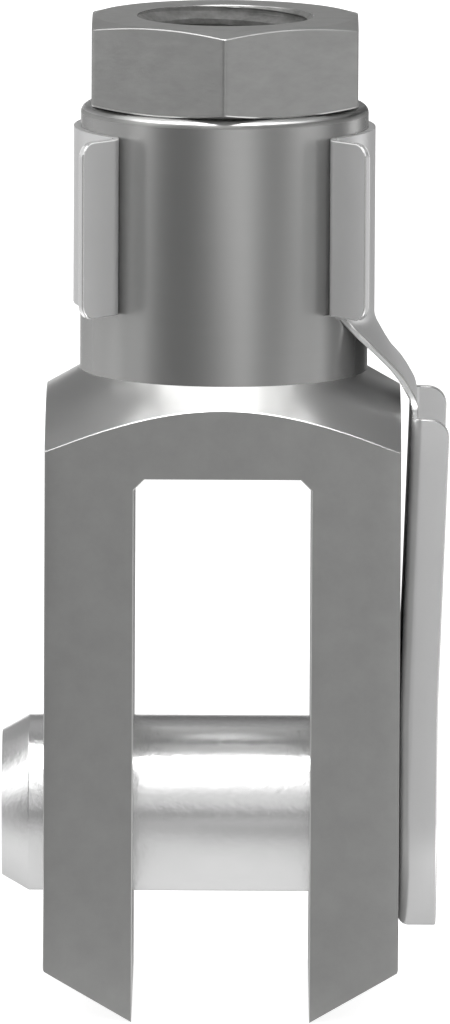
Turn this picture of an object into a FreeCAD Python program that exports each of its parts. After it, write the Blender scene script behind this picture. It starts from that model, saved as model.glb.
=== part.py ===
import FreeCAD, Part
import math
import os

os.makedirs("parts", exist_ok=True)

# Clevis for a tension rod: a square fork with a turned neck, a thin lock nut
# resting on the neck, a plain cross pin, and a folded sheet clip riveted to
# the pin whose clasp snaps round the neck.
# Lengths in millimetres, angles in degrees. The origin is where the pin axis
# crosses the thread axis; +Z runs up the thread, +X along the pin towards the
# clip, +Y away from the mouth of the clasp.

# Thread of the rod, a coarse one; the core lies this many pitches below the full radius
thread_diameter = 16.0
thread_pitch = 2.0
thread_depth_in_pitches = 0.541266

# Fork
block_width = 32.0
slot_width = 16.0
slot_top = 32.0
slot_corner_chamfer = 1.0
prong_length = 17.4
prong_bevel_angle = 30.0
block_edge_chamfer = 0.15

# Neck above the block, with the turned shoulder under it
neck_diameter = 26.0
neck_foot = 40.0
neck_top = 64.0
neck_edge_chamfer = 0.4
shoulder_angle = 30.0

# Lock nut
nut_width = 24.0
nut_height = 8.0
nut_chamfer_angle = 15.0
nut_face_diameter = 23.6

# Pin
pin_diameter = 16.0
pin_clearance = 0.05
pin_overhang = 3.9
pin_tip_length = 2.45
pin_tip_depth = 1.39
shank_diameter = 10.0
shank_clearance = 0.02
rivet_diameter = 13.0
rivet_height = 1.2

# Clip, all of one sheet
sheet = 0.6
fork_gap = 0.05
inner_bend_radius = 0.4

# Channel of the clip beside the fork
channel_width = 22.0
channel_depth = 3.43
channel_top = 36.9
lean_angle = 2.0
lean_start = 8.0
lean_radius = 140.0
flange_corner_radius = 1.7

# Arm between the channel and the clasp; it is dished at the top and flat from a share
# of its length onwards
arm_width = 14.0
arm_drop = 0.6
arm_bend_radius = 3.0
arm_root_fillet = 2.5
arm_foot_fillet = 2.0
flat_from = 0.7

# Clasp round the neck
clasp_gap = 0.03
clasp_bottom = 46.0
clasp_height = 16.0
clasp_mouth_angle = 49.2
lip_bend_radius = 0.9
lip_angle = 42.0
lip_length = 4.1
lip_corner_radius = 1.4

# How the shapes are made: cutters run past the faces they open, the arm's strip is
# drawn wider than its outline and lofted in steps, and lengths count as equal when
# they differ by less than the last value
past = 0.5
spare = 0.3
arm_steps = 8
tiny = 1e-6

# Sizes that follow from the ones above
thread_core_radius = thread_diameter / 2 - thread_depth_in_pitches * thread_pitch
pin_radius = pin_diameter / 2
fork_face = block_width / 2
web_face = fork_face + fork_gap
web_middle = web_face + sheet / 2
outer_bend_radius = inner_bend_radius + sheet
clasp_inner = neck_diameter / 2 + clasp_gap
clasp_outer = clasp_inner + sheet
clasp_middle = clasp_inner + sheet / 2
arm_start = clasp_bottom - arm_drop

V = FreeCAD.Vector
ZERO = V(0, 0, 0)
X_DIR = V(1, 0, 0)
Y_DIR = V(0, 1, 0)
Z_DIR = V(0, 0, 1)


def rad(degrees):
    return math.radians(degrees)


def face_of(points):
    return Part.Face(Part.makePolygon(points + [points[0]]))


def turned(profile):
    # A solid turned about the thread's axis; the profile is a list of (radius, height).
    points = [V(r, 0, z) for r, z in profile]
    return face_of(points).revolve(ZERO, Z_DIR, 360)


def threaded_bore(low, high, open_below):
    # The core of a threaded hole. Its upper end, and the lower one where asked, is
    # opened to the thread's full diameter by a cone of 45 degrees.
    full = thread_diameter / 2
    core = thread_core_radius
    mouth = full - core
    below = [(0, low - past), (core, low - past)]
    if open_below:
        below = [(0, low - past), (full + past, low - past), (core, low + mouth)]
    above = [(core, high - mouth), (full + past, high + past), (0, high + past)]
    return turned(below + above)


def clevis_body():
    half = block_width / 2
    low = -prong_length
    block = Part.makeBox(block_width, block_width, neck_foot - low, V(-half, -half, low))
    upright = [e for e in block.Edges if abs(e.tangentAt(e.FirstParameter).z) > 0.99]
    block = block.makeChamfer(block_edge_chamfer, upright)

    # The turned top: a cone falls from the neck's foot and cuts the block's corners
    neck = neck_diameter / 2
    reach = block_width
    fall = (reach - neck) * math.tan(rad(shoulder_angle))
    under = turned([
        (0, low),
        (reach, low),
        (reach, neck_foot - fall),
        (neck, neck_foot),
        (0, neck_foot),
    ])
    block = block.common(under)
    top = turned([
        (0, slot_top),
        (neck, slot_top),
        (neck, neck_top - neck_edge_chamfer),
        (neck - neck_edge_chamfer, neck_top),
        (0, neck_top),
    ])
    body = block.fuse(top)

    # The fork's slot, open below and to both sides
    w = slot_width / 2
    c = slot_corner_chamfer
    slot = face_of([
        V(-w, -block_width, low - past),
        V(w, -block_width, low - past),
        V(w, -block_width, slot_top - c),
        V(w - c, -block_width, slot_top),
        V(c - w, -block_width, slot_top),
        V(-w, -block_width, slot_top - c),
    ]).extrude(V(0, 2 * block_width, 0))
    body = body.cut(slot)

    # Planar bevels under the prongs, lowest along the slot
    rise = math.tan(rad(prong_bevel_angle))
    for side in (-1, 1):
        bevel = face_of([
            V(side * w, -block_width, low),
            V(side * 2 * block_width, -block_width, low + (2 * block_width - w) * rise),
            V(side * 2 * block_width, -block_width, low - past),
            V(side * w, -block_width, low - past),
        ]).extrude(V(0, 2 * block_width, 0))
        body = body.cut(bevel)

    hole = pin_radius + pin_clearance
    cross = Part.makeCylinder(hole, 2 * block_width, V(-block_width, 0, 0), X_DIR)
    return body.cut(cross).cut(threaded_bore(slot_top, neck_top, False)).removeSplitter()


def jam_nut():
    low = neck_top
    high = neck_top + nut_height
    corner = nut_width / 2 / math.cos(rad(30))
    ring = [V(corner * math.cos(rad(60 * k + 30)), corner * math.sin(rad(60 * k + 30)), low)
            for k in range(6)]
    prism = face_of(ring).extrude(V(0, 0, nut_height))

    # Both ends are faced to a round, with cones that cut the six corners
    face = nut_face_diameter / 2
    beyond = corner + past
    fall = (beyond - face) * math.tan(rad(nut_chamfer_angle))
    turning = turned([
        (0, low),
        (face, low),
        (beyond, low + fall),
        (beyond, high - fall),
        (face, high),
        (0, high),
    ])
    return prism.common(turning).cut(threaded_bore(low, high, True)).removeSplitter()


def clevis_pin():
    r = pin_radius
    tip = -fork_face - pin_overhang
    shank = shank_diameter / 2
    head = web_face + sheet
    dome = rivet_height
    lip = rivet_diameter / 2

    # The straight outline runs to the rivet's edge, the dome closes it to the axis
    points = [
        V(tip, 0, 0),
        V(tip, 0, r - pin_tip_depth),
        V(tip + pin_tip_length, 0, r),
        V(web_face, 0, r),
        V(web_face, 0, shank),
        V(head, 0, shank),
        V(head, 0, lip),
    ]
    edges = [Part.makeLine(points[k], points[k + 1]) for k in range(len(points) - 1)]
    dome_radius = (lip ** 2 + dome ** 2) / (2 * dome)
    half_turn = math.asin(lip / dome_radius) / 2
    centre = head + dome - dome_radius
    middle = V(centre + dome_radius * math.cos(half_turn), 0, dome_radius * math.sin(half_turn))
    crown = V(head + dome, 0, 0)
    edges.append(Part.Arc(points[-1], middle, crown).toShape())
    edges.append(Part.makeLine(crown, points[0]))
    return Part.Face(Part.Wire(edges)).revolve(ZERO, X_DIR, 360)


def arc(centre, radius, start, end, frame):
    # An arc between two angles in degrees; frame turns plane coordinates into a point.
    pts = []
    for a in (start, (start + end) / 2, end):
        u = centre[0] + radius * math.cos(rad(a))
        v = centre[1] + radius * math.sin(rad(a))
        pts.append(frame(u, v))
    return Part.Arc(*pts).toShape()


def channel_section(z):
    # U of the channel seen from above: web beside the fork, flanges pointing outwards.
    def at(x, y):
        return V(x, y, z)

    x0 = web_face
    half = channel_width / 2
    edge = web_face + channel_depth
    big = outer_bend_radius
    small = inner_bend_radius
    mid = x0 + big
    y = half - big
    return Part.Face(Part.Wire([
        Part.makeLine(at(edge, half), at(mid, half)),
        arc((mid, y), big, 90, 180, at),
        Part.makeLine(at(x0, y), at(x0, -y)),
        arc((mid, -y), big, 180, 270, at),
        Part.makeLine(at(mid, -half), at(edge, -half)),
        Part.makeLine(at(edge, -half), at(edge, sheet - half)),
        Part.makeLine(at(edge, sheet - half), at(mid, sheet - half)),
        arc((mid, -y), small, 270, 180, at),
        Part.makeLine(at(x0 + sheet, -y), at(x0 + sheet, y)),
        arc((mid, y), small, 180, 90, at),
        Part.makeLine(at(mid, half - sheet), at(edge, half - sheet)),
        Part.makeLine(at(edge, half - sheet), at(edge, half)),
    ]))


def clip_channel():
    # The lower end is a half cup round the pin: an L turned half a turn.
    def at(x, y):
        return V(x, y, 0)

    x0 = web_face
    half = channel_width / 2
    edge = web_face + channel_depth
    big = outer_bend_radius
    small = inner_bend_radius
    mid = x0 + big
    y = half - big
    ell = Part.Face(Part.Wire([
        Part.makeLine(at(x0, 0), at(x0, y)),
        arc((mid, y), big, 180, 90, at),
        Part.makeLine(at(mid, half), at(edge, half)),
        Part.makeLine(at(edge, half), at(edge, half - sheet)),
        Part.makeLine(at(edge, half - sheet), at(mid, half - sheet)),
        arc((mid, y), small, 90, 180, at),
        Part.makeLine(at(x0 + sheet, y), at(x0 + sheet, 0)),
        Part.makeLine(at(x0 + sheet, 0), at(x0, 0)),
    ]))
    cup = ell.revolve(ZERO, X_DIR, -180)

    # Above the pin the channel runs straight, then leans away from the fork
    lower = channel_section(0).extrude(V(0, 0, lean_start))
    hinge = V(web_face + lean_radius, 0, lean_start)
    bend = channel_section(lean_start).revolve(hinge, Y_DIR, lean_angle)
    start = channel_section(lean_start)
    start.rotate(hinge, Y_DIR, lean_angle)
    lean = V(math.sin(rad(lean_angle)), 0, math.cos(rad(lean_angle)))
    upper = start.extrude(lean * channel_run())

    # The free corners of the two flanges are rounded
    corners = []
    for e in upper.Edges:
        along_y = abs(e.Vertexes[0].Y - e.Vertexes[-1].Y)
        straight_across = abs(along_y - sheet) < tiny and abs(e.Length - sheet) < tiny
        if straight_across and e.CenterOfMass.z > channel_top - sheet:
            corners.append(e)
    upper = upper.makeFillet(flange_corner_radius, corners)

    # The hole for the pin's shank, cut from a sheet before the web to a sheet behind it
    channel = cup.fuse([lower, bend, upper]).removeSplitter()
    bore = shank_diameter / 2 + shank_clearance
    hole = Part.makeCylinder(bore, 3 * sheet, V(web_face - sheet, 0, 0), X_DIR)
    return channel.cut(hole)


def lean_end():
    # Middle of the sheet where the soft bend of the web ends.
    r = lean_radius - sheet / 2
    x = web_middle + r * (1 - math.cos(rad(lean_angle)))
    z = lean_start + r * math.sin(rad(lean_angle))
    return x, z


def channel_run():
    # Straight length of the leaning web up to the arm's foot.
    return (channel_top - lean_end()[1]) / math.cos(rad(lean_angle))


def arm_course():
    # The arm's middle line drops straight from the clasp and then is an S: a bend, a
    # straight run and a bend at the foot that meets the leaning web. The slope and
    # the length of the straight run bridge the offset and the height of the S.
    x, z = lean_end()
    foot_x = x + channel_run() * math.sin(rad(lean_angle))
    offset = foot_x - clasp_middle
    drop = arm_start - channel_top
    q = rad(lean_angle)
    across = offset - arm_bend_radius * (1 + math.cos(q))
    down = arm_bend_radius * math.sin(q) - drop
    slope = math.atan2(down, across) + math.acos(-2 * arm_bend_radius / math.hypot(across, down))
    bends = arm_bend_radius * (2 * math.sin(slope) + math.sin(q))
    straight = (drop - bends) / math.cos(slope)
    return slope, straight, foot_x


def arm_line(s):
    # Place and slope of the arm's middle line at a length s from the start of the S,
    # down to the end of its straight run.
    radius = arm_bend_radius
    turn = min(s / radius, arm_course()[0])
    rest = s - radius * turn
    x = clasp_middle + radius * (1 - math.cos(turn)) + rest * math.sin(turn)
    z = arm_start - radius * math.sin(turn) - rest * math.cos(turn)
    return x, z, turn


def clip_arm():
    radius = arm_bend_radius
    slope, straight, foot_x = arm_course()
    whole = radius * (2 * slope + rad(lean_angle)) + straight
    bend_start = radius * slope + straight
    reach = arm_width / 2 + arm_root_fillet + spare
    wide = clasp_middle * math.asin(reach / clasp_inner)
    narrow = arm_width / 2 + arm_foot_fillet + spare

    # The root drops straight from the clasp. Below it come level cross sections,
    # dished to the clasp's curve at first and flattening smoothly down the arm.
    curved = Part.Face(sheet_section(clasp_middle, arm_start, sheet, 1 / clasp_middle, wide))
    root = curved.extrude(V(0, 0, arm_drop))
    join = bend_start - sheet
    wires = []
    for k in range(arm_steps + 1):
        s = join * k / arm_steps
        x, z, turn = arm_line(s)
        u = min(s / whole / flat_from, 1.0)
        if k == arm_steps:
            u = 1.0
        flatness = u * u * (3 - 2 * u)
        half = wide + (narrow - wide) * k / arm_steps
        thick = sheet / math.cos(turn)
        wires.append(sheet_section(x, z, thick, (1 - flatness) / clasp_middle, half))
    dished = Part.makeLoft(wires, True, False)

    # The bend at the foot is flat across, so it is a profile drawn along Y
    def at(x, z):
        return V(x, -narrow, z)

    start_x, start_z = arm_line(bend_start)[:2]
    join_x, join_z = arm_line(join)[:2]
    hub = (start_x - radius * math.cos(slope), start_z - radius * math.sin(slope))
    low = radius - sheet / 2
    high = radius + sheet / 2
    cut = sheet / 2 / math.cos(slope)
    top = math.degrees(slope)
    base = -lean_angle
    foot = Part.Face(Part.Wire([
        Part.makeLine(at(join_x + cut, join_z), ring_point(hub, high, top, at)),
        arc(hub, high, top, base, at),
        Part.makeLine(ring_point(hub, high, base, at), ring_point(hub, low, base, at)),
        arc(hub, low, base, top, at),
        Part.makeLine(ring_point(hub, low, top, at), at(join_x - cut, join_z)),
        Part.makeLine(at(join_x - cut, join_z), at(join_x + cut, join_z)),
    ])).extrude(V(0, 2 * narrow, 0))
    arm = dished.fuse([root, foot])

    # Outline of the strip seen along the pin, with hollow fillets at both ends
    w = arm_width / 2
    big = arm_root_fillet
    small = arm_foot_fillet
    z1 = clasp_bottom
    z0 = channel_top

    def side(y, z):
        return V(0, y, z)

    outline = Part.Face(Part.Wire([
        Part.makeLine(side(w + big, z1 + past), side(w + big, z1)),
        arc((w + big, z1 - big), big, 90, 180, side),
        Part.makeLine(side(w, z1 - big), side(w, z0 + small)),
        arc((w + small, z0 + small), small, 180, 270, side),
        Part.makeLine(side(w + small, z0), side(w + small, z0 - past)),
        Part.makeLine(side(w + small, z0 - past), side(-w - small, z0 - past)),
        Part.makeLine(side(-w - small, z0 - past), side(-w - small, z0)),
        arc((-w - small, z0 + small), small, 270, 360, side),
        Part.makeLine(side(-w, z0 + small), side(-w, z1 - big)),
        arc((-w - big, z1 - big), big, 0, 90, side),
        Part.makeLine(side(-w - big, z1), side(-w - big, z1 + past)),
        Part.makeLine(side(-w - big, z1 + past), side(w + big, z1 + past)),
    ]))
    return arm.common(outline.extrude(V(foot_x + sheet, 0, 0)))


def ring_point(centre, radius, angle, frame):
    return frame(centre[0] + radius * math.cos(rad(angle)), centre[1] + radius * math.sin(rad(angle)))


def sheet_section(x, z, thick, curve, half):
    # One level cross section of the arm: a strip bent to the given curve about an
    # upright line, its ends square to the sheet.
    if curve < tiny:
        corners = [
            V(x - thick / 2, -half, z),
            V(x - thick / 2, half, z),
            V(x + thick / 2, half, z),
            V(x + thick / 2, -half, z),
        ]
        return Part.makePolygon(corners + [corners[0]])
    r = 1 / curve
    turn = half / r
    low = r - thick / 2
    high = r + thick / 2

    def point(radius, angle):
        return V(x - r + radius * math.cos(angle), radius * math.sin(angle), z)

    return Part.Wire([
        Part.Arc(point(low, -turn), point(low, 0), point(low, turn)).toShape(),
        Part.makeLine(point(low, turn), point(high, turn)),
        Part.Arc(point(high, turn), point(high, 0), point(high, -turn)).toShape(),
        Part.makeLine(point(high, -turn), point(low, -turn)),
    ])


def clip_clasp():
    # Seen from above: a ring round the neck, open at the front, whose two ends
    # bend away from the neck into straight lips. Angles run from -Y to each side.
    def at(x, y):
        return V(x, y, clasp_bottom)

    mouth = clasp_mouth_angle
    hub = clasp_outer + lip_bend_radius
    hub_x = hub * math.sin(rad(mouth))
    hub_y = -hub * math.cos(rad(mouth))
    near = lip_bend_radius + sheet
    far = lip_bend_radius
    start = 90 + mouth
    end = 180 + lip_angle
    lip = (math.sin(rad(lip_angle)) * lip_length, -math.cos(rad(lip_angle)) * lip_length)

    def lip_point(radius, side, along):
        x = hub_x + radius * math.cos(rad(end)) + lip[0] * along
        y = hub_y + radius * math.sin(rad(end)) + lip[1] * along
        return at(side * x, y)

    def bend(radius, side):
        pts = []
        for a in (start, (start + end) / 2, end):
            x = hub_x + radius * math.cos(rad(a))
            y = hub_y + radius * math.sin(rad(a))
            pts.append(at(side * x, y))
        return Part.Arc(*pts).toShape()

    edges = []
    for side in (-1, 1):
        edges.append(bend(near, side))
        edges.append(Part.makeLine(lip_point(near, side, 0), lip_point(near, side, 1)))
        edges.append(Part.makeLine(lip_point(near, side, 1), lip_point(far, side, 1)))
        edges.append(Part.makeLine(lip_point(far, side, 1), lip_point(far, side, 0)))
        edges.append(bend(far, side))
    edges.append(arc((0, 0), clasp_inner, mouth - 90, 270 - mouth, at))
    edges.append(arc((0, 0), clasp_outer, mouth - 90, 270 - mouth, at))
    outline = Part.Wire(Part.__sortEdges__(edges))
    clasp = Part.Face(outline).extrude(V(0, 0, clasp_height))

    # The lips' free corners are rounded
    tip_y = lip_point(far, 1, 1).y
    corners = []
    for e in clasp.Edges:
        level = abs(e.Vertexes[0].Z - e.Vertexes[-1].Z) < tiny
        if level and abs(e.Length - sheet) < tiny and e.CenterOfMass.y < tip_y + sheet:
            corners.append(e)
    return clasp.makeFillet(lip_corner_radius, corners)


def spring_clip():
    return clip_channel().fuse([clip_arm(), clip_clasp()]).removeSplitter()


def write(name, shape):
    solids = shape.Solids
    print(name, "solids", len(solids), "volume", round(shape.Volume, 2), "valid", shape.isValid())
    if len(solids) == 1:
        shape = solids[0]
    shape.exportStep("parts/" + name + ".step")


write("clevis_body", clevis_body())
write("jam_nut", jam_nut())
write("clevis_pin", clevis_pin())
write("spring_clip", spring_clip())
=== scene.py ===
import math
import bmesh
import bpy
import numpy as np
from mathutils import Matrix, Vector


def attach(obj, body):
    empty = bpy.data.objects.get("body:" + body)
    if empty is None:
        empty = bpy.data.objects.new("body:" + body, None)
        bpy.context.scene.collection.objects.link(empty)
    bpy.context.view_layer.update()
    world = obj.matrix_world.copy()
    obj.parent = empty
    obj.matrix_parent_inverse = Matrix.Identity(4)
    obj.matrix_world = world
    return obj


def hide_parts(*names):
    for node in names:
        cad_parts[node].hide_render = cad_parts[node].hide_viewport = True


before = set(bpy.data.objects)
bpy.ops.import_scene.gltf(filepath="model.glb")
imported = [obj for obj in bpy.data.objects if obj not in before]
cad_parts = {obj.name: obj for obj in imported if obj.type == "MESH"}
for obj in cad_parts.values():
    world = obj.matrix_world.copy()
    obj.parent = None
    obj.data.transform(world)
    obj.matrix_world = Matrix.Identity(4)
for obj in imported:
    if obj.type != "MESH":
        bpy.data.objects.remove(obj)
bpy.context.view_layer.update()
mm = 0.001  # the pieces' sizes are in millimetres and all angles in degrees
scene = bpy.context.scene
scene.view_settings.view_transform = "Standard"


# Mesh helpers

joinDigits = 5  # points that agree to so many decimals of a millimetre become one


def ringPoints(radius, turn, z):
    # Points round Z at the angles t: x = r cos t, y = r sin t. The radius and z are one number or one
    # for every angle.
    return np.stack(np.broadcast_arrays(radius * np.cos(turn), radius * np.sin(turn), z), -1)


def turnedGrid(profile, columns, axis="z"):
    # A profile of (radius, place) pairs swept once round an axis, with place measured along it.
    turn = np.linspace(0, 2 * np.pi, columns + 1)
    rings = np.stack([ringPoints(radius, turn, place) for radius, place in profile])
    return rings if axis == "z" else rings[..., [2, 0, 1]]


def gridMesh(name, *grids):
    # Every grid is rows x columns x 3 in millimetres. Quads join neighbouring points, points that
    # coincide become one, and faces that lose a side by it turn to triangles or go.
    points, quads, start = [], [], 0
    for grid in grids:
        rows, cols = grid.shape[:2]
        index = start + np.arange(rows * cols).reshape(rows, cols)
        corners = [index[:-1, :-1], index[:-1, 1:], index[1:, 1:], index[1:, :-1]]
        quads.append(np.stack(corners, -1).reshape(-1, 4))
        points.append(grid.reshape(-1, 3))
        start += rows * cols
    points, quads = np.concatenate(points), np.concatenate(quads)
    rounded = np.round(points, joinDigits)
    first, where = np.unique(rounded, axis=0, return_index=True, return_inverse=True)[1:]
    quads = where.reshape(-1)[quads]
    same = quads == np.roll(quads, -1, axis=1)
    lost = same.sum(1)
    whole = quads[lost == 0]
    triangles = quads[lost == 1][~same[lost == 1]].reshape(-1, 3)
    mesh = bpy.data.meshes.new(name)
    mesh.from_pydata((points[first] * mm).tolist(), [], whole.tolist() + triangles.tolist())
    mesh.validate()
    return mesh


def outwards(mesh):
    # Turns all faces outwards.
    work = bmesh.new()
    work.from_mesh(mesh)
    bmesh.ops.recalc_face_normals(work, faces=work.faces)
    work.to_mesh(mesh)
    work.free()


def faceData(mesh):
    # Number of faces, their middles in millimetres, their normals and their middles' distances from Z.
    count = len(mesh.polygons)
    centre, normal = np.zeros(count * 3), np.zeros(count * 3)
    mesh.polygons.foreach_get("center", centre)
    mesh.polygons.foreach_get("normal", normal)
    centre, normal = centre.reshape(-1, 3) / mm, normal.reshape(-1, 3)
    return count, centre, normal, np.hypot(centre[:, 0], centre[:, 1])


def addFinishes(mesh, *keys):
    # Puts finishes on a mesh and gives back the number of each by its name.
    for key in keys:
        mesh.materials.append(finish[key])
    return {key: number for number, key in enumerate(keys)}


def shadeByAngle(mesh, degrees):
    # Smooth all over, apart from the edges that turn by more than the angle.
    mesh.polygons.foreach_set("use_smooth", np.ones(len(mesh.polygons), bool))
    mesh.set_sharp_from_angle(angle=math.radians(degrees))


def newPiece(name, mesh, body, slotName, *nodes):
    # A finished piece: rides on its CAD body and stands for its CAD nodes.
    piece = bpy.data.objects.new(name, mesh)
    scene.collection.objects.link(piece)
    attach(piece, body)
    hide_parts(*nodes)
    return piece


# Thread of the rod, right handed, shared by the nut and the neck. Radii, pitch and the height of one
# crest are in millimetres, the half crest and the flank in pitches.

thread = {
    "major": 7.98, "core": 6.917, "pitch": 2.0, "crestAtBack": 70.58, "crestHalf": 0.125, "flank": 0.3125,
    "spareTurns": 2, "rowsPerTurn": 24, "columns": 192,
}


def threadGrid(low, high, limit, turn):
    # Rows follow the helix: z = low + pitch (row / rowsPerTurn + t / 2 pi - 1), held at both ends. The
    # radius is the thread's flat crest, 60 degree flanks and root, changed by limit(z, radius).
    rows = int(round(((high - low) / thread["pitch"] + thread["spareTurns"]) * thread["rowsPerTurn"]))
    row = np.arange(rows + 1)[:, None] / thread["rowsPerTurn"]
    z = np.clip(low + thread["pitch"] * (row + turn / (2 * np.pi) - 1), low, high)
    phase = (z - thread["crestAtBack"]) / thread["pitch"] - (turn - np.pi / 2) / (2 * np.pi)
    offset = np.abs(phase - np.round(phase))
    depth = thread["major"] - thread["core"]
    radius = thread["core"] + depth * np.clip((offset - thread["crestHalf"]) / thread["flank"], 0, 1)
    return ringPoints(limit(z, radius), turn, z)


# Finishes of the plated steel. The dullness is the share that isn't metal, the scales are noise cells
# per metre, the bump's depth is in millimetres.

plating = {
    "dull": 0.35, "cloudDetail": 5, "cloudRough": 0.6, "wearScale": 1.7, "wearDetail": 4, "grainDetail": 3,
    "noiseLow": 0.3, "noiseHigh": 0.7,
}
steel = {
    "flat": dict(colour=(0.335, 0.335, 0.33), rough=0.35, roughVary=0.03,
                 mottle=0.045, mottleScale=420, bump=0.5, bumpDepth=0.03, grainScale=700),
    "turned": dict(colour=(0.395, 0.395, 0.39), dull=0.27, rough=0.23, roughVary=0.015, stretch=(1, 1, 6),
                   mottle=0.01, mottleScale=180, bump=0.06, bumpDepth=0.01, grainScale=700),
    # Turned like the neck, so its paleness and extra metal above the neck's are a painted highlight on the
    # cone and the neck's top.
    "shoulder": dict(colour=(0.65, 0.65, 0.645), dull=0.06, rough=0.31, roughVary=0.015,
                     mottle=0.01, mottleScale=180, bump=0.06, bumpDepth=0.01, grainScale=700),
    "milled": dict(colour=(0.6, 0.6, 0.595), dull=0.6, rough=0.33, roughVary=0.03,
                   mottle=0.02, mottleScale=200, bump=0.2, bumpDepth=0.012, grainScale=700),
    # Near-white and almost a mirror, far paler than the milled walls: light painted onto the slot's ceiling
    # and the bore, which lie in shade under the block, so that they and the pin's reflection of them render
    # bright.
    "litCeiling": dict(colour=(0.93, 0.93, 0.925), dull=0.1, rough=0.33, roughVary=0.03,
                    mottle=0.02, mottleScale=200, bump=0.2, bumpDepth=0.012, grainScale=700),
    "thread": dict(colour=(0.22, 0.22, 0.215), dull=0.6, rough=0.36, roughVary=0.06,
                   mottle=0.25, mottleScale=900, bump=0.6, bumpDepth=0.12, grainScale=1500),
    "nut": dict(colour=(0.36, 0.36, 0.355), rough=0.33, roughVary=0.03, stretch=(1, 1, 2.2),
                mottle=0.06, mottleScale=480, bump=0.8, bumpDepth=0.03, grainScale=600),
    "nutEdge": dict(colour=(0.45, 0.45, 0.445), dull=0.2, rough=0.2, roughVary=0.02,
                    mottle=0.02, mottleScale=300, bump=0.1, bumpDepth=0.01, grainScale=900),
    "sheetEdge": dict(colour=(0.8, 0.8, 0.795), dull=0.3, rough=0.2, roughVary=0.02,
                      mottle=0.02, mottleScale=300, bump=0.1, bumpDepth=0.01, grainScale=900),
    # Near-white and almost all dull, so it shows bright under any light: a painted highlight, the white line
    # along the lips' upper edges.
    "lipPaintedHighlight": dict(colour=(0.93, 0.93, 0.925), dull=0.9, rough=0.3, roughVary=0.015,
                    mottle=0.02, mottleScale=300, bump=0.1, bumpDepth=0.01, grainScale=900),
    "pin": dict(colour=(0.76, 0.76, 0.76), dull=0.22, rough=0.2, roughVary=0.015,
                mottle=0.02, mottleScale=220, bump=0.3, bumpDepth=0.06, grainScale=1800),
    "clip": dict(colour=(0.71, 0.71, 0.71), rough=0.295, roughVary=0.012,
                 mottle=0.015, mottleScale=200, bump=0.15, bumpDepth=0.01, grainScale=900),
}


def steelMaterial(name, look):
    # Plated steel: mostly a metal, with a share of dull plating whose tone and roughness wander a
    # little, and a fine bump.
    material = bpy.data.materials.new(name)
    material.use_nodes = True
    nodes, links = material.node_tree.nodes, material.node_tree.links
    shader = nodes["Principled BSDF"]
    shader.inputs["Metallic"].default_value = 1 - look.get("dull", plating["dull"])
    shader.inputs["Specular IOR Level"].default_value = 0
    where = nodes.new("ShaderNodeTexCoord")
    place = nodes.new("ShaderNodeMapping")
    place.inputs["Scale"].default_value = look.get("stretch", (1, 1, 1))
    links.new(where.outputs["Object"], place.inputs["Vector"])

    def noise(scale, detail, rough=0.5):
        node = nodes.new("ShaderNodeTexNoise")
        node.inputs["Scale"].default_value = scale
        node.inputs["Detail"].default_value = detail
        node.inputs["Roughness"].default_value = rough
        links.new(place.outputs["Vector"], node.inputs["Vector"])
        return node.outputs["Fac"]

    def about(middle, vary, value):
        # Spreads a noise's usual range over middle - vary to middle + vary.
        node = nodes.new("ShaderNodeMapRange")
        node.inputs["From Min"].default_value = plating["noiseLow"]
        node.inputs["From Max"].default_value = plating["noiseHigh"]
        node.inputs["To Min"].default_value = middle - vary
        node.inputs["To Max"].default_value = middle + vary
        links.new(value, node.inputs["Value"])
        return node.outputs["Result"]

    cloud = noise(look["mottleScale"], plating["cloudDetail"], plating["cloudRough"])
    wear = noise(look["mottleScale"] * plating["wearScale"], plating["wearDetail"])
    colour = nodes.new("ShaderNodeVectorMath")
    colour.operation = "SCALE"
    colour.inputs[0].default_value = look["colour"]
    links.new(about(1, look["mottle"], cloud), colour.inputs["Scale"])
    links.new(colour.outputs["Vector"], shader.inputs["Base Color"])
    links.new(about(look["rough"], look["roughVary"], wear), shader.inputs["Roughness"])
    bump = nodes.new("ShaderNodeBump")
    bump.inputs["Strength"].default_value = look["bump"]
    bump.inputs["Distance"].default_value = look["bumpDepth"] * mm
    links.new(noise(look["grainScale"], plating["grainDetail"]), bump.inputs["Height"])
    links.new(bump.outputs["Normal"], shader.inputs["Normal"])
    return material


finish = {name: steelMaterial(name + "Steel", look) for name, look in steel.items()}
print("materials ready")


# Fork with its neck

fork = {
    "half": 16.0, "edge": 0.15, "break": 0.062, "tip": -17.4,  # block and prongs
    "slant": 30.0,  # of the cone and of the prongs' tips
    "slotHalf": 8.0, "slotTop": 32.0, "slotCorner": 1.0,
    "foot": 40.0, "top": 64.0, "neck": 13.0, "topRound": 0.75, "topSteps": 7,  # neck, from foot to top
    "boreSunk": 0.3,  # the bore's floor lies below the slot's ceiling and is cut off with the slot
    "hole": 8.05, "outerMouth": 0.15, "innerMouth": 0.1, "holeColumns": 128,
    "cutterLow": -40.0, "cutterPast": 1.0, "mouthPast": 0.2,  # how far the cutters run past the steel
    "coneFrom": 30.0, "coneUp": 0.4, "neckUp": 0.1, "ceilingUp": 0.9, "boreRim": 0.02,  # finishes' borders
    "smooth": 22,
}


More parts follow.
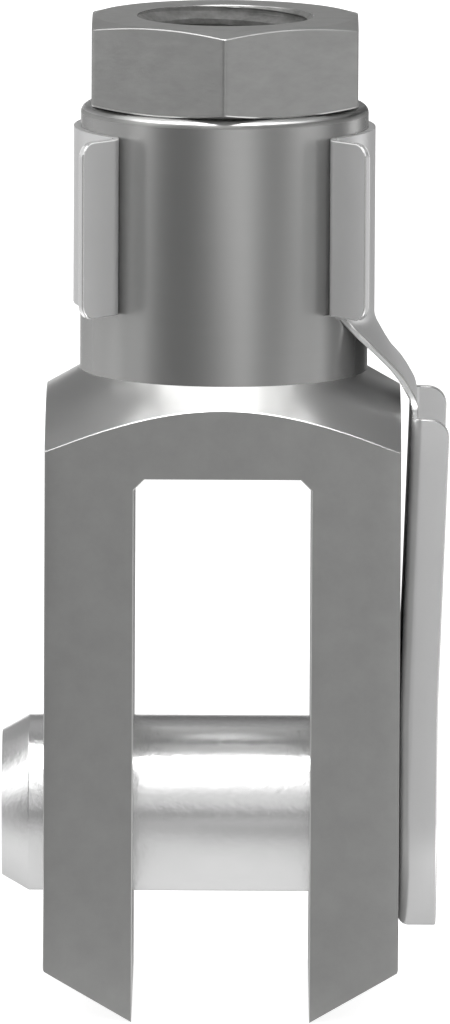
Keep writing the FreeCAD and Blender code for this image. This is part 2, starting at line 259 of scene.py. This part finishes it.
def forkGrids():
    # One skin in polar form: for each angle t the outline runs from the bore's floor up the thread, over
    # the neck's top, down the neck, out on the slanted cone to the square's edge R(t), down the flat and
    # in under the prongs. R is the square |x|, |y| = half with its corners cut by edge.
    slope = math.tan(math.radians(fork["slant"]))
    turn = np.linspace(0, 2 * np.pi, thread["columns"] + 1)
    c, s = np.abs(np.cos(turn)), np.abs(np.sin(turn))
    square = np.minimum(fork["half"] / np.maximum(c, s), (2 * fork["half"] - fork["edge"]) / (c + s))
    edgeHeight = fork["foot"] - (square - fork["neck"]) * slope
    b, soft, full = fork["break"], fork["topRound"], thread["major"]
    low = fork["slotTop"] - fork["boreSunk"]

    def under(radius):
        return fork["tip"] + (radius * c - fork["slotHalf"]) * slope

    def limit(z, radius):
        # The thread deepens from the ceiling upwards and ends in a 45 degree mouth at the top.
        started = np.minimum(radius, thread["core"] + np.maximum(z - fork["slotTop"], 0))
        return np.maximum(started, full + z - fork["top"])

    arc = [(fork["neck"] - soft + soft * math.sin(a), fork["top"] - soft + soft * math.cos(a))
           for a in np.linspace(0, math.pi / 2, fork["topSteps"])]
    rows = [(full, fork["top"])] + arc + [
        (fork["neck"], fork["foot"]),
        (square - b, edgeHeight + b * slope),
        (square, edgeHeight - b),
        (square, under(square) + b),
        (square - b, under(square - b)),
        (0.0, under(0.0)),
    ]
    shell = np.stack([ringPoints(r, turn, z) for r, z in rows])
    floor = turnedGrid([(0, low), (thread["core"], low)], thread["columns"])
    return floor, threadGrid(low, fork["top"], limit, turn), shell


def sweptCutter(name, outline, stations):
    # An outline of (x, z) points carried along Y by stations of (y, growth) and closed at its middle.
    # Growth moves the outline's sides and its top outwards.
    outline = np.array(outline, float)
    away = np.sign(outline - [0, outline[:, 1].min()])
    rings = []
    for y, growth in stations:
        moved = outline + away * growth
        rings.append(np.stack([moved[:, 0], np.full(len(moved), y), moved[:, 1]], -1))
    rings = np.stack(rings)
    rings = np.concatenate([rings, rings[:, :1]], 1)
    first = np.broadcast_to(rings[:1].mean(1, keepdims=True), rings[:1].shape)
    last = np.broadcast_to(rings[-1:].mean(1, keepdims=True), rings[-1:].shape)
    return gridMesh(name, np.concatenate([first, rings, last]))


def slotCutter():
    # The slot with cut corners under its ceiling, grown past the block's faces to break their edges.
    w, top, corner = fork["slotHalf"], fork["slotTop"], fork["slotCorner"]
    end, past, b = fork["half"], fork["cutterPast"], fork["break"]
    outline = [(-w, fork["cutterLow"]), (w, fork["cutterLow"]), (w, top - corner), (w - corner, top),
               (corner - w, top), (-w, top - corner)]
    cutter = sweptCutter("slotCutter", outline,
                         [(-end - past, past + b), (b - end, 0), (end - b, 0), (end + past, past + b)])
    outwards(cutter)
    number = addFinishes(cutter, "milled", "litCeiling")
    centre, normal = faceData(cutter)[1:3]
    # Faces of the slot's ceiling, given the near-white finish: painted light, as they lie in shade under the
    # block.
    litCeiling = (normal[:, 2] > fork["ceilingUp"]) & (centre[:, 2] > 0)
    kind = np.where(litCeiling, number["litCeiling"], number["milled"])
    cutter.polygons.foreach_set("material_index", kind.astype(np.int32))
    return cutter


def holeCutter():
    # The cross hole turned about X, with 45 degree mouths at the block's faces and the slot's walls.
    r, end, wall = fork["hole"], fork["half"], fork["slotHalf"]
    past, outer, inner, inside = fork["cutterPast"], fork["outerMouth"], fork["innerMouth"], fork["mouthPast"]
    half = [(0, end + past), (r + outer + past, end + past), (r, end - outer), (r, wall + inner),
            (r + inner + inside, wall - inside)]
    profile = [(radius, -x) for radius, x in half] + half[::-1]
    cutter = gridMesh("holeCutter", turnedGrid(profile, fork["holeColumns"], "x"))
    outwards(cutter)
    addFinishes(cutter, "milled")
    return cutter


def cutAway(piece, cutters):
    # Cuts the piece by other meshes and keeps the result as its plain mesh.
    helpers = []
    for mesh in cutters:
        helper = bpy.data.objects.new(mesh.name, mesh)
        scene.collection.objects.link(helper)
        step = piece.modifiers.new(mesh.name, "BOOLEAN")
        step.operation, step.solver, step.object = "DIFFERENCE", "EXACT", helper
        step.material_mode = "TRANSFER"
        helpers.append(helper)
    bpy.context.view_layer.update()
    done = bpy.data.meshes.new_from_object(piece.evaluated_get(bpy.context.evaluated_depsgraph_get()))
    piece.modifiers.clear()
    piece.data = done
    for helper in helpers:
        bpy.data.objects.remove(helper)


def buildFork():
    # The polar skin, with the slot and the cross hole cut out of it. The bore has the ceiling's pale finish,
    # which paints light into a place in shade, and the cone and the neck's top have the shoulder's, whose
    # paleness is a painted highlight.
    mesh = gridMesh("clevisFork", *forkGrids())
    outwards(mesh)
    number = addFinishes(mesh, "flat", "turned", "litCeiling", "shoulder", "milled")
    count, centre, normal, radius = faceData(mesh)
    z, up = centre[:, 2], normal[:, 2]
    kind = np.full(count, number["flat"], np.int32)
    # The cone and the neck's top take the shoulder's paler finish, a painted highlight.
    kind[(z > fork["coneFrom"]) & (up > fork["coneUp"])] = number["shoulder"]
    kind[(z > fork["foot"]) & (up < fork["neckUp"])] = number["turned"]
    # The bore takes the ceiling's near-white finish too: painted light inside it.
    kind[radius < thread["major"] + fork["boreRim"]] = number["litCeiling"]
    mesh.polygons.foreach_set("material_index", kind)
    piece = newPiece("clevisFork", mesh, "clevis", "fork_steel", "clevis_body")
    cutAway(piece, [slotCutter(), holeCutter()])
    shadeByAngle(piece.data, fork["smooth"])
    print("fork", len(piece.data.polygons), "faces")


buildFork()


# Lock nut

nut = {
    "flats": 24.0, "height": 8.0, "face": 11.8, "chamfer": 15.0, "smooth": 12,
    "break": 0.07, "breakRise": 0.27, "lip": 0.12, "lipIn": 0.4,  # upper and lower edges
    "round": 150.0, "cornerColumns": (0.15, 0.35, 0.6, 0.9, 1.4),  # hexagon's corners
    "edgeDown": (0.3, 0.5),  # how far the paler lower edge's faces look down
}


def buildNut():
    # The outline for angle t: thread, countersunk mouths, flat ends to the faced circle, chamfers out to
    # the hexagon H(t), and the flats. H is the six flats' distance joined by a high power mean, which
    # rounds the corners a little; more columns are set close to them.
    corners = np.radians(30 + 60 * np.arange(6))
    close = np.radians(nut["cornerColumns"])
    turn = np.linspace(0, 2 * np.pi, thread["columns"] + 1)
    turn = np.sort(np.concatenate([turn, np.add.outer(corners, close).ravel(),
                                   np.subtract.outer(corners, close).ravel()]))
    sides = np.radians(60 * np.arange(6))
    reach = np.maximum(np.cos(turn[None, :] - sides[:, None]), 0) ** nut["round"]
    hexagon = nut["flats"] / 2 / reach.sum(0) ** (1 / nut["round"])
    drop = (hexagon - nut["face"]) * math.tan(math.radians(nut["chamfer"]))
    low, high = fork["top"], fork["top"] + nut["height"]
    full, b, lip = thread["major"], nut["break"], nut["lip"]

    def limit(z, radius):
        # The thread stays inside the mouths, which widen by 45 degrees to both ends.
        mouth = full + np.maximum(z - high, low - z)
        return np.maximum(np.minimum(radius, full - b), mouth)

    rows = [
        (full - b, high - b), (full, high), (nut["face"], high),
        (hexagon - b, high - drop + b * nut["breakRise"]), (hexagon, high - drop - b),
        (hexagon, low + drop + lip), (hexagon - lip * nut["lipIn"], low + drop),
        (nut["face"], low), (full, low), (full - b, low + b),
    ]
    shell = np.stack([ringPoints(r, turn, z) for r, z in rows])
    mesh = gridMesh("lockNut", threadGrid(low + b, high - b, limit, turn), shell)
    outwards(mesh)
    number = addFinishes(mesh, "nut", "thread", "nutEdge")
    count, centre, normal, radius = faceData(mesh)
    down, (least, most) = -normal[:, 2], nut["edgeDown"]
    kind = np.full(count, number["nut"], np.int32)
    kind[radius < full - b] = number["thread"]
    kind[(radius > full - b) & (radius < full) & (centre[:, 2] > high - b)] = number["nutEdge"]
    kind[(radius > nut["face"]) & (down > least) & (down < most)] = number["nutEdge"]
    mesh.polygons.foreach_set("material_index", kind)
    shadeByAngle(mesh, nut["smooth"])
    newPiece("lockNut", mesh, "clevis", "nut_steel", "jam_nut")
    print("nut", count, "faces")


buildNut()


# Cross pin

pin = {
    "radius": 8.0, "tip": -19.9, "tipLength": 2.45, "tipDepth": 1.39,
    "proud": 0.05, "shank": 5.0, "sheet": 0.6,  # shoulder past the block, then the clip's sheet
    "rivet": 6.5, "dome": 1.2, "crownSteps": 16, "soft": 0.05, "softSteps": 6, "columns": 192, "smooth": 20,
}


def softCorner(before, corner, after):
    # A corner of a profile rounded by a quadratic curve that starts and ends the soft reach from it.
    before, corner, after = (np.array(p, float) for p in (before, corner, after))
    a = corner + (before - corner) / np.linalg.norm(before - corner) * pin["soft"]
    c = corner + (after - corner) / np.linalg.norm(after - corner) * pin["soft"]
    t = np.linspace(0, 1, pin["softSteps"])[:, None]
    return [tuple(p) for p in (1 - t) ** 2 * a + 2 * t * (1 - t) * corner + t ** 2 * c]


def buildPin():
    # A profile turned about X: softened tip cone, full pin, shoulder, thinner shank through the clip's
    # sheet, and the rivet's dome, whose outline is an arc through the rivet's edge and its crown.
    r, tip, shank, rivet, dome = (pin[key] for key in ("radius", "tip", "shank", "rivet", "dome"))
    shoulder = fork["half"] + pin["proud"]
    head = shoulder + pin["sheet"]
    arcRadius = (rivet ** 2 + dome ** 2) / (2 * dome)
    angle = np.linspace(math.asin(rivet / arcRadius), 0, pin["crownSteps"])
    crown = [(arcRadius * math.sin(a), head + dome - arcRadius + arcRadius * math.cos(a)) for a in angle]
    end, corner, back = (r - pin["tipDepth"], tip), (r, tip + pin["tipLength"]), (r, shoulder)
    profile = [(0, tip)] + softCorner((0, tip), end, corner) + softCorner(end, corner, back)
    profile += [back, (shank, shoulder), (shank, head), (rivet, head)] + crown
    mesh = gridMesh("crossPin", turnedGrid(profile, pin["columns"], "x"))
    outwards(mesh)
    addFinishes(mesh, "pin")
    shadeByAngle(mesh, pin["smooth"])
    newPiece("crossPin", mesh, "clip_pin", "pin_steel", "clevis_pin")
    print("pin", len(mesh.polygons), "faces")


buildPin()


# Spring clip

clip = {
    "join": 0.001, "even": 0.2,  # points this close and faces this level become one
    "edge": 0.18, "angle": 45, "smooth": 20, "flatWeight": 80,
    "band": 13.8, "bandFrom": 45.5, "lipFrom": 60.5, "lipUp": (0.2, 0.8),  # where the band and lips are
}


def brokenSkin(node, crisp):
    # A CAD node's loose triangles joined into one closed skin, with a narrow two step bevel along the
    # edges that turn by more than the angle, apart from those for which crisp(middle) holds, a point in
    # millimetres. The bevel's faces get the second finish.
    work = bmesh.new()
    work.from_mesh(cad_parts[node].data)
    bmesh.ops.remove_doubles(work, verts=work.verts, dist=clip["join"] * mm)
    bmesh.ops.dissolve_limit(work, angle_limit=math.radians(clip["even"]), verts=work.verts, edges=work.edges)
    sharp = [e for e in work.edges if e.calc_face_angle(0) > math.radians(clip["angle"])
             and not crisp((e.verts[0].co + e.verts[1].co) / 2 / mm)]
    cut = bmesh.ops.bevel(work, geom=sharp, offset=clip["edge"] * mm, offset_type="WIDTH", segments=2,
                          profile=0.5, affect="EDGES", clamp_overlap=False)
    for face in cut["faces"]:
        face.material_index = 1
    mesh = bpy.data.meshes.new(node + "Skin")
    work.to_mesh(mesh)
    work.free()
    if "custom_normal" in mesh.attributes:
        mesh.attributes.remove(mesh.attributes["custom_normal"])
    return mesh


def buildClip():
    # The CAD sheet with broken edges on the channel, arm and lips; the band's rims stay crisp. The lips'
    # upper bevels get a near-white, mostly dull finish, a painted highlight along their top edges, and
    # large faces win over small ones where they meet smoothly, so flat sheet stays flat.
    def onBand(point):
        return point.z > clip["bandFrom"] and math.hypot(point.x, point.y) < clip["band"]

    mesh = brokenSkin("spring_clip", onBand)
    number = addFinishes(mesh, "clip", "sheetEdge", "lipPaintedHighlight")
    count, centre, normal, radius = faceData(mesh)
    z, up, (least, most) = centre[:, 2], normal[:, 2], clip["lipUp"]
    kind = np.zeros(count, np.int32)
    mesh.polygons.foreach_get("material_index", kind)
    # The lips' upper bevels, whose finish is the painted highlight.
    lipHighlightFaces = (radius > clip["band"]) & (z > clip["lipFrom"]) & (up > least) & (up < most)
    kind[(kind == number["sheetEdge"]) & lipHighlightFaces] = number["lipPaintedHighlight"]
    mesh.polygons.foreach_set("material_index", kind)
    piece = newPiece("springClip", mesh, "clip_pin", "clip_steel", "spring_clip")
    shadeByAngle(mesh, clip["smooth"])
    even = piece.modifiers.new("evenShading", "WEIGHTED_NORMAL")
    even.keep_sharp, even.weight = True, clip["flatWeight"]
    print("clip", len(mesh.polygons), "faces")


buildClip()


# Studio: pale floor, white world and a surround of soft grey cards that the steel mirrors. Sizes are in
# millimetres, apart from the floor's, which is in metres.

studio = {
    "floorSize": 4.0, "floorColour": 0.5, "floorGlow": 0.80, "worldFill": 1.22, "worldGlow": 1.0,
    "surroundRadius": 600, "surroundLift": 0.05, "discFrom": 6, "discRings": 56, "domeRings": 61,
    "surroundColumns": 144, "eyeHeight": 20, "onFloor": 1,
    "skyGlow": 0.00, "farFloorGlow": 0.02, "nearGlow": 1.02, "nearRadius": 30, "nearPower": 3,
}
cards = {
    # name: glow, azimuth from the front, elevation, half width, half height, edge power
    "overhead": (6.53, -5, 76, 23, 12, 4),
    "topLeft": (5.34, -70, 55, 12, 10, 2),
    "highLeft": (2.08, -107, 56, 12, 7, 2),
    "topRight": (3.47, 36, 67, 21, 5, 2),
    "highRight": (2.50, 82, 56, 13, 6, 2),
    "topBack": (0.38, 176, 52, 20, 26, 2),
    "frontHigh": (8.2, 0, 61, 15, 8, 2.6),
    "frontMiddle": (2.57, -3, 38, 8, 19, 2),
    "leftMiddle": (2.32, -70, 29, 14, 25, 2),
    "leftLow": (0.80, -122, 11, 32, 19, 2),
    "rightLow": (1.24, 70, 10, 19, 10, 2),
    "frontLow": (0.93, 10, 7, 22, 12, 2),
    "backLow": (1.50, 186, 1, 9, 7, 2),
    "backRight": (1.27, 126, 3, 10, 7, 2),
    "floorRight": (2.55, 61, -33, 24, 22, 2),
    "floorBack": (2.32, 225, -28, 45, 16, 2),
    "floorLeft": (0.91, -62, -50, 45, 22, 2),
    "floorFar": (0.43, 16, -4, 12, 9, 2),
    "floorSide": (0.55, 84, -5, 8, 6, 2),
    "floorFront": (0.33, 10, -25, 23, 12, 2),
    "behindLeft": (0.26, -122, 42, 13, 11, 2),
    "sideLeft": (0.35, -95, -9, 9, 10, 2),
    "sideRight": (0.75, 124, -9, 15, 9, 2),
}


def mirrorRays(nodes, links):
    # 1 for what the camera, mirrors and glass see, 0 for plain light.
    path = nodes.new("ShaderNodeLightPath")
    seen = path.outputs["Is Camera Ray"]
    for kind in ("Is Glossy Ray", "Is Transmission Ray"):
        either = nodes.new("ShaderNodeMath")
        either.operation = "MAXIMUM"
        links.new(seen, either.inputs[0])
        links.new(path.outputs[kind], either.inputs[1])
        seen = either.outputs[0]
    return seen


def buildWorld():
    # White for the camera and mirrors, and a little stronger as the plain light on the object.
    world = bpy.data.worlds.new("paleStudio")
    world.use_nodes = True
    scene.world = world
    nodes, links = world.node_tree.nodes, world.node_tree.links
    strength = nodes.new("ShaderNodeMapRange")
    links.new(mirrorRays(nodes, links), strength.inputs["Value"])
    strength.inputs["To Min"].default_value = studio["worldFill"]
    strength.inputs["To Max"].default_value = studio["worldGlow"]
    back = nodes["Background"]
    back.inputs["Color"].default_value = (1, 1, 1, 1)
    links.new(strength.outputs["Result"], back.inputs["Strength"])


def glowMaterial(name):
    # A plain glow that isn't sampled as a lamp; what uses it links the strength.
    material = bpy.data.materials.new(name)
    material.use_nodes = True
    nodes, links = material.node_tree.nodes, material.node_tree.links
    nodes.remove(nodes["Principled BSDF"])
    glow = nodes.new("ShaderNodeEmission")
    links.new(glow.outputs[0], nodes["Material Output"].inputs["Surface"])
    material.cycles.emission_sampling = "NONE"
    return material, nodes, links, glow


def buildFloor():
    # A square under the prongs' tips: plain matt grey, plus a glow that the camera and mirrors see.
    half = studio["floorSize"] / 2 / mm
    z = fork["tip"]
    grid = np.array([[[-half, -half, z], [half, -half, z]], [[-half, half, z], [half, half, z]]])
    floor = bpy.data.objects.new("paleFloor", gridMesh("paleFloor", grid))
    scene.collection.objects.link(floor)
    material, nodes, links, glow = glowMaterial("paleFloor")
    plain = nodes.new("ShaderNodeBsdfDiffuse")
    plain.inputs["Color"].default_value = (studio["floorColour"],) * 3 + (1,)
    strength = nodes.new("ShaderNodeMath")
    strength.operation = "MULTIPLY"
    strength.inputs[1].default_value = studio["floorGlow"]
    links.new(mirrorRays(nodes, links), strength.inputs[0])
    links.new(strength.outputs[0], glow.inputs["Strength"])
    both = nodes.new("ShaderNodeAddShader")
    links.new(plain.outputs[0], both.inputs[0])
    links.new(glow.outputs[0], both.inputs[1])
    links.new(both.outputs[0], nodes["Material Output"].inputs["Surface"])
    floor.data.materials.append(material)


def cardGlow(points):
    # Each card is a soft window exp(-|dx / w|^n - |dy / h|^n), where dx and dy are the angles across and
    # above the card's middle as seen from the eye point. The windows add up over a plain grey, and close
    # to the object the floor takes its own even glow.
    ray = points - [0, 0, studio["eyeHeight"]]
    ray /= np.linalg.norm(ray, axis=1, keepdims=True)
    onFloor = points[:, 2] < fork["tip"] + studio["onFloor"]
    glow = studio["skyGlow"] + (studio["farFloorGlow"] - studio["skyGlow"]) * onFloor
    for strength, azimuth, elevation, width, height, power in cards.values():
        a, e = math.radians(azimuth), math.radians(elevation)
        ahead = np.array([math.sin(a) * math.cos(e), -math.cos(a) * math.cos(e), math.sin(e)])
        right = np.array([math.cos(a), math.sin(a), 0])
        above = np.cross(right, ahead)
        dx = np.degrees(np.arctan2(ray @ right, ray @ ahead))
        dy = np.degrees(np.arcsin(np.clip(ray @ above, -1, 1)))
        glow = glow + strength * np.exp(-np.abs(dx / width) ** power - np.abs(dy / height) ** power)
    away = np.hypot(points[:, 0], points[:, 1]) / studio["nearRadius"]
    near = onFloor * np.exp(-away ** studio["nearPower"])
    return glow + (studio["nearGlow"] - glow) * near


def buildSurround():
    # A disc and a dome round the object that only mirrors see; it carries the cards' glow point by point.
    big, low = studio["surroundRadius"], fork["tip"] + studio["surroundLift"]
    disc = [(r, low) for r in np.geomspace(studio["discFrom"], big, studio["discRings"])]
    rise = np.linspace(math.asin(low / big), math.pi / 2, studio["domeRings"])[1:-1]
    dome = [(big * math.cos(a), big * math.sin(a)) for a in rise]
    profile = [(0, low)] + disc + dome + [(0, big)]
    mesh = gridMesh("cardSurround", turnedGrid(profile, studio["surroundColumns"]))
    points = np.zeros(len(mesh.vertices) * 3)
    mesh.vertices.foreach_get("co", points)
    level = mesh.attributes.new("glow", "FLOAT", "POINT")
    level.data.foreach_set("value", cardGlow(points.reshape(-1, 3) / mm))
    material, nodes, links, glow = glowMaterial("cardSurround")
    painted = nodes.new("ShaderNodeAttribute")
    painted.attribute_name = "glow"
    links.new(painted.outputs["Fac"], glow.inputs["Strength"])
    mesh.materials.append(material)
    surround = bpy.data.objects.new("cardSurround", mesh)
    scene.collection.objects.link(surround)
    for ray in ("camera", "diffuse", "shadow", "transmission", "volume_scatter"):
        setattr(surround, "visible_" + ray, False)


view = {
    "distance": 1.5, "azimuth": 0.06, "elevation": 8.595, "roll": 0.292, "aim": (0.000197, 0, 0.026702),
    "lens": 582.07, "sensor": 36, "nearest": 0.05, "farthest": 20,
}


def buildCamera():
    # Where the photograph was taken from: turned, raised and rolled by the view's angles in degrees about
    # a point near the slot's ceiling, with a long lens. Distances are in metres.
    a, e, roll = (math.radians(view[key]) for key in ("azimuth", "elevation", "roll"))
    back = Vector((math.sin(a) * math.cos(e), -math.cos(a) * math.cos(e), math.sin(e)))
    right = Vector((0, 0, 1)).cross(back).normalized()
    up = back.cross(right)
    across = right * math.cos(roll) + up * math.sin(roll)
    above = up * math.cos(roll) - right * math.sin(roll)
    data = bpy.data.cameras.new("photoView")
    data.lens, data.sensor_width = view["lens"], view["sensor"]
    data.clip_start, data.clip_end = view["nearest"], view["farthest"]
    camera = bpy.data.objects.new("photoView", data)
    turn = Matrix((across, above, back)).transposed().to_4x4()
    camera.matrix_world = Matrix.Translation(Vector(view["aim"]) + back * view["distance"]) @ turn
    scene.collection.objects.link(camera)
    scene.camera = camera


buildWorld()
buildFloor()
buildSurround()
buildCamera()
print("studio ready")
